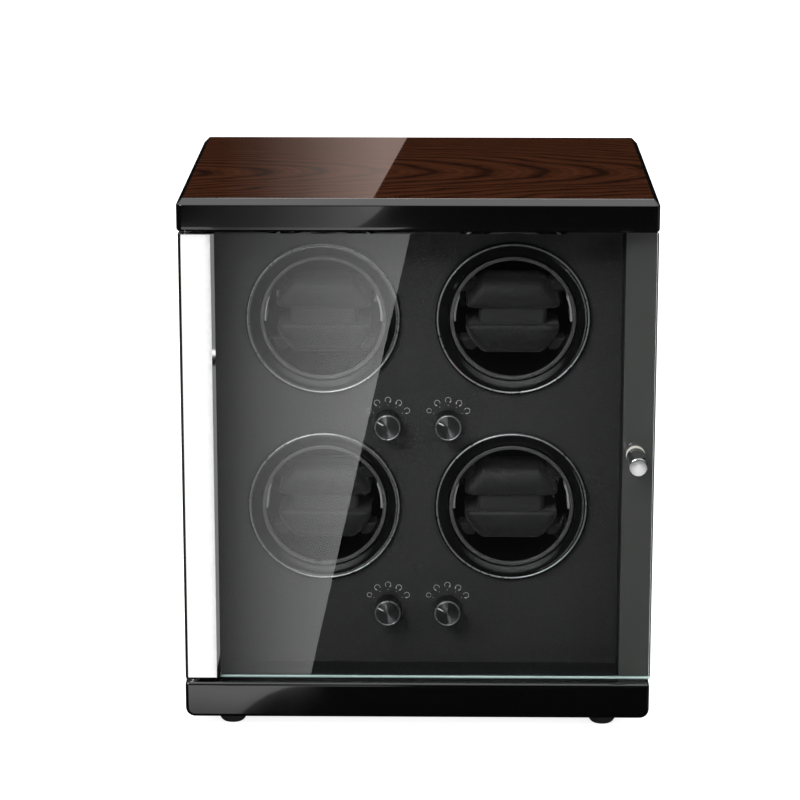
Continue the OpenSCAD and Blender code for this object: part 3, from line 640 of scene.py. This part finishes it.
def make_marks(i):
    """The five printed positions round a selector: a ring for off, then four curved arrows."""
    c = KNOB[i]
    y0, y1 = FACE_Y - 0.06 * MM, FACE_Y + 0.05 * MM
    verts, faces = [], []

    def ribbon(points, width):
        """A flat line through points of the face, as a thin closed strip."""
        first = len(verts)
        count = len(points)
        for k, (x, z) in enumerate(points):
            ax, az = points[max(k - 1, 0)]
            bx, bz = points[min(k + 1, count - 1)]
            length = math.hypot(bx - ax, bz - az)
            nx, nz = -(bz - az) / length * width / 2, (bx - ax) / length * width / 2
            verts.extend([(x + nx, y0, z + nz), (x - nx, y0, z - nz), (x - nx, y1, z - nz),
                          (x + nx, y1, z + nz)])
        for k in range(count - 1):
            a = first + 4 * k
            for j in range(4):
                faces.append((a + j, a + (j + 1) % 4, a + 4 + (j + 1) % 4, a + 4 + j))
        faces.append((first, first + 3, first + 2, first + 1))
        last = first + 4 * (count - 1)
        faces.append((last, last + 1, last + 2, last + 3))

    def head(x, z, angle, size):
        """An arrow head pointing along angle."""
        first = len(verts)
        for y in (y0, y1):
            for turn, reach in ((0, size), (140, size * 0.8), (-140, size * 0.8)):
                a = math.radians(angle + turn)
                verts.append((x + reach * math.cos(a), y, z + reach * math.sin(a)))
        faces.append((first, first + 1, first + 2))
        faces.append((first + 5, first + 4, first + 3))
        for j in range(3):
            k = (j + 1) % 3
            faces.append((first + j, first + 3 + j, first + 3 + k, first + k))

    for step in range(5):
        a = math.radians(FIRST_MARK - MARK_STEP * step)
        x, z = c.x + 11.7 * MM * math.cos(a), c.z + 11.7 * MM * math.sin(a)
        out = math.degrees(a)
        if step == 0:
            ribbon(arc(x, z, 1.25 * MM, 0, 330, 18), 0.22 * MM)
            continue
        start, end = out - 130, out + 130
        ribbon(arc(x, z, 1.5 * MM, start, end, 16), 0.24 * MM)
        if step in (1, 3):
            t = math.radians(end)
            head(x + 1.5 * MM * math.cos(t), z + 1.5 * MM * math.sin(t), end + 80, 0.82 * MM)
        if step in (2, 3, 4):
            t = math.radians(start)
            head(x + 1.5 * MM * math.cos(t), z + 1.5 * MM * math.sin(t), start - 80, 0.82 * MM)
    for step in range(5):
        a = math.radians(FIRST_MARK - MARK_STEP * step)
        x, z = c.x + 8.9 * MM * math.cos(a), c.z + 8.9 * MM * math.sin(a)
        ribbon([(x - 0.16 * MM, z), (x + 0.16 * MM, z)], 0.32 * MM)
    piece(f"selector_marks_{i}", verts, faces, ["print"], "root", degrees=20)


def holder_half():
    """The upper half of a holder about its bay's axis, a little thinner than the finished pad."""
    low, high = span("holder_frame_1")
    w, front, back = 25.0 * MM, low.y + 0.7 * MM, high.y - 0.7 * MM
    top = 21.3 * MM
    flat = 4.2 * MM
    nu = 48
    verts, faces = [], []

    def section(x):
        """A section in y and z; sections shrink towards the round cheeks."""
        h = min(top, math.sqrt(max((26.2 * MM) ** 2 - x * x, (8 * MM) ** 2)))
        edge = max(0.0, (abs(x) - (w - 4.5 * MM)) / (4.5 * MM))
        inset = 4.0 * MM * (1 - math.sqrt(max(0.0, 1 - edge * edge)))
        low_z = flat + 0.3 * inset
        h, f, b = max(h - inset, low_z + 3.5 * MM), front + inset, back - inset
        r0, r1 = min(9.5 * MM, h - low_z - 1.5 * MM), min(15 * MM, h - low_z - 1.5 * MM)
        points = [(f + 1.4 * MM, low_z), (f, low_z + 1.4 * MM)]
        points += [(f + r0 - r0 * math.cos(t), h - r0 + r0 * math.sin(t))
                   for t in np.linspace(0, math.pi / 2, 12)]
        points += [(b - r1 + r1 * math.sin(t), h - r1 + r1 * math.cos(t))
                   for t in np.linspace(0, math.pi / 2, 14)]
        points += [(b, low_z + 1.4 * MM), (b - 1.4 * MM, low_z)]
        return points

    xs = [w * math.sin(t) for t in np.linspace(-math.pi / 2, math.pi / 2, nu + 1)]
    sections = [section(x) for x in xs]
    n = len(sections[0])
    for x, points in zip(xs, sections):
        verts += [(x, y, z) for y, z in points]
    for a in range(nu):
        for k in range(n):
            j = (k + 1) % n
            faces.append((a * n + k, (a + 1) * n + k, (a + 1) * n + j, a * n + j))
    faces.append(tuple(range(n)))
    faces.append(tuple(nu * n + k for k in reversed(range(n))))
    return verts, faces


def stitched(point):
    """The flat side of a pad, and the two seams across it."""
    return point.z < 5.8 * MM or abs(abs(point.x) - SEAM_X) < 0.7 * MM


def stuffed(verts, faces, held):
    """Fills a closed form as a sewn pad, with cloth under pressure. The points that held() picks stay put."""
    scene = bpy.context.scene
    mesh = bpy.data.meshes.new("pad_form")
    mesh.from_pydata([tuple(PAD_FRAME * a for a in v) for v in verts], [], faces)
    form = bpy.data.objects.new("pad_form", mesh)
    scene.collection.objects.link(form)
    even = form.modifiers.new("even", "REMESH")
    even.mode = "VOXEL"
    even.voxel_size = PAD_VOXEL
    mesh = bpy.data.meshes.new_from_object(form.evaluated_get(bpy.context.evaluated_depsgraph_get()))
    form.modifiers.clear()
    form.data = mesh
    start = np.array([v.co for v in mesh.vertices])
    end = start
    group = form.vertex_groups.new(name="stitched")
    group.add([v.index for v in mesh.vertices if held(v.co / PAD_FRAME)], 1.0, "REPLACE")
    cloth = form.modifiers.new("fill", "CLOTH")
    cloth.settings.quality = 6
    cloth.settings.use_pressure = True
    cloth.settings.uniform_pressure_force = 4.0
    cloth.settings.vertex_group_mass = "stitched"
    cloth.settings.effector_weights.gravity = 0.0
    cloth.point_cache.frame_start = 1
    cloth.point_cache.frame_end = 20
    for number in range(1, 21):
        scene.frame_set(number)
    filled = form.evaluated_get(bpy.context.evaluated_depsgraph_get()).data
    move = np.array([v.co for v in filled.vertices]) - start
    length = np.maximum(np.linalg.norm(move, axis=1, keepdims=True), 1e-9)
    end = start + move * np.minimum(1.0, PAD_FRAME * PAD_CAP / length)
    form.modifiers.clear()
    scene.frame_set(1)
    faces = [tuple(f.vertices) for f in mesh.polygons]
    bpy.data.objects.remove(form)
    return end / PAD_FRAME, faces


def make_holder(i):
    c = BAY[i]
    verts, faces = PAD
    for part, sign, node, body in (("upper", 1, f"holder_frame_{i}", f"rotor_{i}"),
                                   ("lower", -1, f"holder_jaw_{i}", f"jaw_{i}")):
        low = span(node)[0]
        placed = [(x + c.x, y, sign * z + c.z) for x, y, z in verts]
        pad = piece(f"holder_pad_{part}_{i}", placed, faces, ["pad"], body, [node],
                    degrees=180)
        pad.modifiers.clear()
        rounder = pad.modifiers.new("rounder", "SUBSURF")
        rounder.levels = rounder.render_levels = 1
        for side, word in ((-1, "left"), (1, "right")):
            wall = 31.1 * MM
            z0, z1 = 12.7 * MM, 19.3 * MM
            outline = [(19.5 * MM, z0), (math.sqrt(wall ** 2 - z0 ** 2), z0)]
            outline += [(wall * math.cos(a), wall * math.sin(a))
                        for a in np.linspace(math.asin(z0 / wall), math.asin(z1 / wall), 5)[1:]]
            outline += [(19.5 * MM, z1)]
            outline = [(c.x + side * x, c.z + sign * z) for x, z in outline]
            prism(f"holder_arm_{part}_{word}_{i}", outline, low.y + 6.2 * MM, low.y + 19.8 * MM, "y", ["pad"],
                  body, bevel=2.0 * MM, segments=4, bevel_angle=40)
    low, high = span(f"holder_jaw_{i}")
    outline = rounded_rectangle(c.x - 18.1 * MM, low.y + 3.4 * MM, c.x + 18.1 * MM, high.y - 5 * MM, 3 * MM)
    prism(f"holder_sleeve_{i}", outline, c.z - 8 * MM, c.z + 6 * MM, "z", ["rubber"], f"jaw_{i}",
          bevel=0.4 * MM, segments=2)


def make_feet():
    low, high = span("rubber_feet")
    r = 7.5 * MM
    h = high.z
    bulge, lowest = 2.9 * MM, -1.22
    profile = [(1.7 * MM, 0.0031), (3.2 * MM, 0.003), (3.2 * MM, 0.0002), (3.4 * MM, 0), (4.5 * MM, 0)]
    profile += [(4.6 * MM + bulge * math.cos(a), h * 0.6 + bulge * math.sin(a) - 1.25 * MM * a / lowest)
                for a in np.linspace(lowest, 0, 8)]
    profile += [(r, h - 0.3 * MM), (r - 0.3 * MM, h), (1.7 * MM, h), (1.7 * MM, 0.0031)]
    places = [(x, y) for y in (low.y + r, high.y - r) for x in (low.x + r, high.x - r)]
    for n, (x, y) in enumerate(places, 1):
        lathe_z(f"foot_{n}", profile, Vector((x, y, 0)), ["rubber"], "root", ["rubber_feet"])


CAD_LOOKS = {
    "face_leather": "face", "floor_liner": "liner", "face_board": "board", "back_panel": "matte",
    "foot_screws": "satin_steel", "back_screws": "satin_steel", "dc_jack": "matte",
    "control_board": "circuit", "wiring": "lead", "pivot_bushes": "satin_steel",
    "door_magnet": "satin_steel", "gear_motors": "can", "selector_switches": "matte",
    "drive_belts": "rubber", "spindle_bushes": "brass", "knob_screw": "chrome",
    "knob_washers": "white", "pivot_pins": "chrome",
}
CAD_LOOKS.update({f"drum_housing_{i}": "matte" for i in BAYS})
CAD_LOOKS.update({f"rotor_pulley_{i}": "white" for i in BAYS})
CAD_LOOKS.update({f"motor_pulley_{i}": "white" for i in BAYS})


def dress_cad():
    for node, look in CAD_LOOKS.items():
        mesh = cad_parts[node].data
        mesh.materials.clear()
        mesh.materials.append(M[look])


# ---------------------------------------------------------------- studio

def ray_kind(tree):
    """Sockets that are 1 for what the camera sees, also through glass, and 1 for what gloss mirrors."""
    path = tree.nodes.new("ShaderNodeLightPath")

    def op(kind, a, b):
        node = tree.nodes.new("ShaderNodeMath")
        node.operation = kind
        for k, value in enumerate((a, b)):
            if hasattr(value, "is_output"):
                tree.links.new(value, node.inputs[k])
            else:
                node.inputs[k].default_value = value
        return node.outputs[0]

    diffuse = op("MINIMUM", path.outputs["Diffuse Depth"], 1.0)
    glossy = op("MINIMUM", path.outputs["Glossy Depth"], 1.0)
    no_diffuse = op("SUBTRACT", 1.0, diffuse)
    seen = op("MULTIPLY", no_diffuse, op("SUBTRACT", 1.0, glossy))
    mirrored = op("MULTIPLY", no_diffuse, glossy)
    return op, seen, mirrored


def make_world():
    world = bpy.data.worlds.new("studio")
    bpy.context.scene.world = world
    world.use_nodes = True
    tree = world.node_tree
    back = tree.nodes["Background"]
    back.inputs["Color"].default_value = (1, 1, 1, 1)
    op, seen, mirrored = ray_kind(tree)
    coords = tree.nodes.new("ShaderNodeTexCoord")
    split = tree.nodes.new("ShaderNodeSeparateXYZ")
    tree.links.new(coords.outputs["Generated"], split.inputs[0])
    # what gloss sees of the room, by the height of the direction it looks in
    dark_room = steps(tree, split.outputs["Z"], [(-1.0, 0.004), (-0.345, 0.003), (-0.30, 0.02), (-0.25, 0.03),
                                                 (-0.20, 0.01), (-0.1, 0.004), (0.35, 0.004), (0.6, 0.5),
                                                 (0.85, 1.1), (1.0, 1.6)])
    total = op("ADD", seen, op("MULTIPLY", mirrored, dark_room))
    neither = op("SUBTRACT", 1.0, op("ADD", seen, mirrored))
    total = op("ADD", total, op("MULTIPLY", neither, 0.75))
    tree.links.new(total, back.inputs["Strength"])


def make_floor():
    mesh = bpy.data.meshes.new("floor")
    mesh.from_pydata([(-6, -6, 0), (6, -6, 0), (6, 6, 0), (-6, 6, 0)], [], [(0, 1, 2, 3)])
    floor = bpy.data.objects.new("floor", mesh)
    bpy.context.scene.collection.objects.link(floor)
    material = bpy.data.materials.new("floor")
    material.use_nodes = True
    tree = material.node_tree
    tree.nodes.clear()
    op, seen, mirrored = ray_kind(tree)
    out = tree.nodes.new("ShaderNodeOutputMaterial")
    glow = tree.nodes.new("ShaderNodeEmission")
    glow.inputs["Strength"].default_value = 0.82
    diffuse = tree.nodes.new("ShaderNodeBsdfDiffuse")
    diffuse.inputs["Color"].default_value = (0.8, 0.8, 0.8, 1)
    both = tree.nodes.new("ShaderNodeAddShader")
    tree.links.new(glow.outputs[0], both.inputs[0])
    tree.links.new(diffuse.outputs[0], both.inputs[1])
    clear = tree.nodes.new("ShaderNodeBsdfTransparent")
    choose = tree.nodes.new("ShaderNodeMixShader")
    tree.links.new(mirrored, choose.inputs[0])
    tree.links.new(both.outputs[0], choose.inputs[1])
    tree.links.new(clear.outputs[0], choose.inputs[2])
    tree.links.new(choose.outputs[0], out.inputs[0])
    mesh.materials.append(material)


def make_card(name, corners, paint, tint=(1, 1, 1)):
    """A lit card that only shows in reflections. paint(tree, op, axes) gives its level from X, Y and Z."""
    mesh = bpy.data.meshes.new(name)
    mesh.from_pydata(corners, [], [tuple(range(len(corners)))])
    card = bpy.data.objects.new(name, mesh)
    bpy.context.scene.collection.objects.link(card)
    material = bpy.data.materials.new(name)
    material.use_nodes = True
    tree = material.node_tree
    tree.nodes.clear()
    op, seen, mirrored = ray_kind(tree)
    coords = tree.nodes.new("ShaderNodeTexCoord")
    split = tree.nodes.new("ShaderNodeSeparateXYZ")
    tree.links.new(coords.outputs["Object"], split.inputs[0])
    out = tree.nodes.new("ShaderNodeOutputMaterial")
    glow = tree.nodes.new("ShaderNodeEmission")
    glow.inputs["Color"].default_value = (*tint, 1)
    level = paint(tree, op, split.outputs)
    if hasattr(level, "is_output"):
        tree.links.new(level, glow.inputs["Strength"])
    else:
        glow.inputs["Strength"].default_value = level
    clear = tree.nodes.new("ShaderNodeBsdfTransparent")
    choose = tree.nodes.new("ShaderNodeMixShader")
    tree.links.new(mirrored, choose.inputs[0])
    tree.links.new(clear.outputs[0], choose.inputs[1])
    tree.links.new(glow.outputs[0], choose.inputs[2])
    tree.links.new(choose.outputs[0], out.inputs[0])
    mesh.materials.append(material)
    card.visible_diffuse = False
    card.visible_shadow = False


def steps(tree, value, stops):
    """Brightness that changes with a coordinate, straight between the stops, up to BRIGHTEST."""
    low, high = stops[0][0], stops[-1][0]
    spread = tree.nodes.new("ShaderNodeMapRange")
    tree.links.new(value, spread.inputs["Value"])
    spread.inputs["From Min"].default_value = low
    spread.inputs["From Max"].default_value = high
    ramp = tree.nodes.new("ShaderNodeValToRGB")
    tree.links.new(spread.outputs[0], ramp.inputs[0])
    points = ramp.color_ramp.elements
    while len(points) < len(stops):
        points.new(0.5)
    for point, (place, level) in zip(points, stops):
        point.position = (place - low) / (high - low)
        point.color = (*[level / BRIGHTEST] * 3, 1)
    scale = tree.nodes.new("ShaderNodeMath")
    scale.operation = "MULTIPLY"
    tree.links.new(ramp.outputs[0], scale.inputs[0])
    scale.inputs[1].default_value = BRIGHTEST
    return scale.outputs[0]


def window_outline():
    """The big window. Its right edge bends for the cornice and the base, and is straight for the door."""
    cornice = [(WINDOW_LEFT, 0.11), (-0.020, 0.11)] + bow((-0.033, 0.072), (-0.048, 0.048), (-0.076, 0.0373))
    door = [(-0.0155, 0.0368), (-0.112, -0.400)]
    base = bow((-0.108, -0.4025), (-0.168, -0.402), (-0.205, -0.47)) + [(WINDOW_LEFT, -0.47)]
    return cornice + door + base


def front_paint(tree, op, axes):
    """One big soft window to the left of the camera, as the cornice, the door and the base each mirror it."""
    x, z = axes["X"], axes["Z"]
    rail = op("MULTIPLY", op("LESS_THAN", x, RAIL_EDGE), 1.15)
    glass = steps(tree, x, [(RAIL_EDGE - 0.0005, 0.0), (RAIL_EDGE + 0.0005, 0.29), (-0.065, 1.85),
                            (0.0, 2.3)])
    glass = op("MULTIPLY", glass, steps(tree, z, [(-0.41, 1.12), (-0.10, 0.97), (0.04, 0.56)]))
    cornice = steps(tree, x, [(-0.23, 0.0), (-0.15, 0.23), (-0.10, 0.56), (-0.065, 0.94), (-0.05, 1.27),
                              (0.0, 1.6)])
    base = steps(tree, x, [(-0.22, 0.95), (-0.10, 1.30)])
    base = op("MULTIPLY", base, steps(tree, z, [(-0.48, 0.6), (-0.43, 0.74), (-0.415, 1.19), (-0.403, 1.40)]))
    above = op("GREATER_THAN", z, 0.037)
    below = op("LESS_THAN", z, -0.4015)
    between = op("SUBTRACT", 1.0, op("ADD", above, below))
    level = op("MULTIPLY", between, op("ADD", rail, glass))
    level = op("ADD", level, op("MULTIPLY", above, cornice))
    return op("ADD", level, op("MULTIPLY", below, base))


def top_paint(tree, op, axes):
    """A window behind the cabinet, which fades out towards the left of the top."""
    return steps(tree, axes["X"], [(-0.18, 0.006), (-0.15, 0.03), (-0.11, 0.105), (-0.04, 0.325),
                                   (0.03, 0.38)])


def side_paint(tree, op, axes):
    """An even, dim wall on the right."""
    return 0.2


def pull_paint(tree, op, axes):
    """Bright only for the end of the door knob, which is nearer than the glass behind it."""
    path = tree.nodes.new("ShaderNodeLightPath")
    return op("LESS_THAN", path.outputs["Ray Length"], 1.235)


def make_cards():
    """Cards for the gloss to mirror. Their edges and levels follow the photograph's, rounded."""
    make_card("front_card", [(x, -1.286, z) for x, z in window_outline()], front_paint)
    top = [(WINDOW_LEFT, 0.36), (0.025, 0.36), (-0.080, 0.55), (WINDOW_LEFT, 0.55)]
    make_card("top_card", [(x, 1.0, z) for x, z in top], top_paint, (1.42, 1.12, 1.0))
    side = [(-0.6, -0.7), (0.4, -0.7), (0.4, 0.15), (-0.6, 0.15)]
    make_card("side_card", [(1.5, y, z) for y, z in side], side_paint)
    make_card("pull_card", [(x, -1.285, z) for x, z in arc(0.195, -0.179, 0.0078, 0, 345, 23)], pull_paint)


def make_lights():
    def area(name, place, aim, size, power):
        data = bpy.data.lights.new(name, "AREA")
        data.shape = "RECTANGLE"
        data.size = data.size_y = size
        data.energy = power
        lamp = bpy.data.objects.new(name, data)
        bpy.context.scene.collection.objects.link(lamp)
        lamp.location = place
        direction = Vector(aim) - Vector(place)
        lamp.rotation_euler = direction.to_track_quat("-Z", "Y").to_euler()
        lamp.visible_transmission = False
        return lamp

    area("key", (-0.9, -1.5, 1.5), (0, 0, 0.12), 0.9, 26)
    area("fill", (1.3, -1.2, 0.6), (0, 0, 0.15), 0.8, 7).visible_glossy = False
    area("rim", (0.1, 1.3, 1.5), (0, 0, 0.2), 0.7, 10)
    # a soft pool of light on the upper middle of the face
    data = bpy.data.lights.new("pool", "SPOT")
    data.energy = 27
    data.spot_size = math.radians(15)
    data.spot_blend = 1.0
    data.shadow_soft_size = 0.12
    pool = bpy.data.objects.new("pool", data)
    bpy.context.scene.collection.objects.link(pool)
    pool.location = (-0.38, -1.2, 1.0)
    pool.rotation_euler = (Vector((-0.01, -0.055, 0.185)) - pool.location).to_track_quat("-Z", "Y").to_euler()
    pool.visible_transmission = False


def make_camera():
    """The photograph's viewpoint, fitted to the edges of the box."""
    data = bpy.data.cameras.new("camera")
    data.sensor_width = 36
    data.lens = 136.3
    camera = bpy.data.objects.new("camera", data)
    bpy.context.scene.collection.objects.link(camera)
    camera.location = (0.01186, -1.62643, 0.57522)
    camera.rotation_euler = (math.radians(90 - 14.31), 0, math.radians(0.785))
    bpy.context.scene.camera = camera


make_camera()
make_world()
make_floor()
make_cards()
make_lights()
bpy.context.scene.view_settings.view_transform = "Standard"

make_top()
make_base()
make_sides()
make_glass()
make_rail()
make_pull()
PAD = stuffed(*holder_half(), stitched)
for bay in BAYS:
    make_bezel(bay)
    make_cup(bay)
    make_holder(bay)
    make_selector(bay)
    make_marks(bay)
make_feet()
dress_cad()
bpy.data.objects["door_glass_pane"].visible_shadow = False
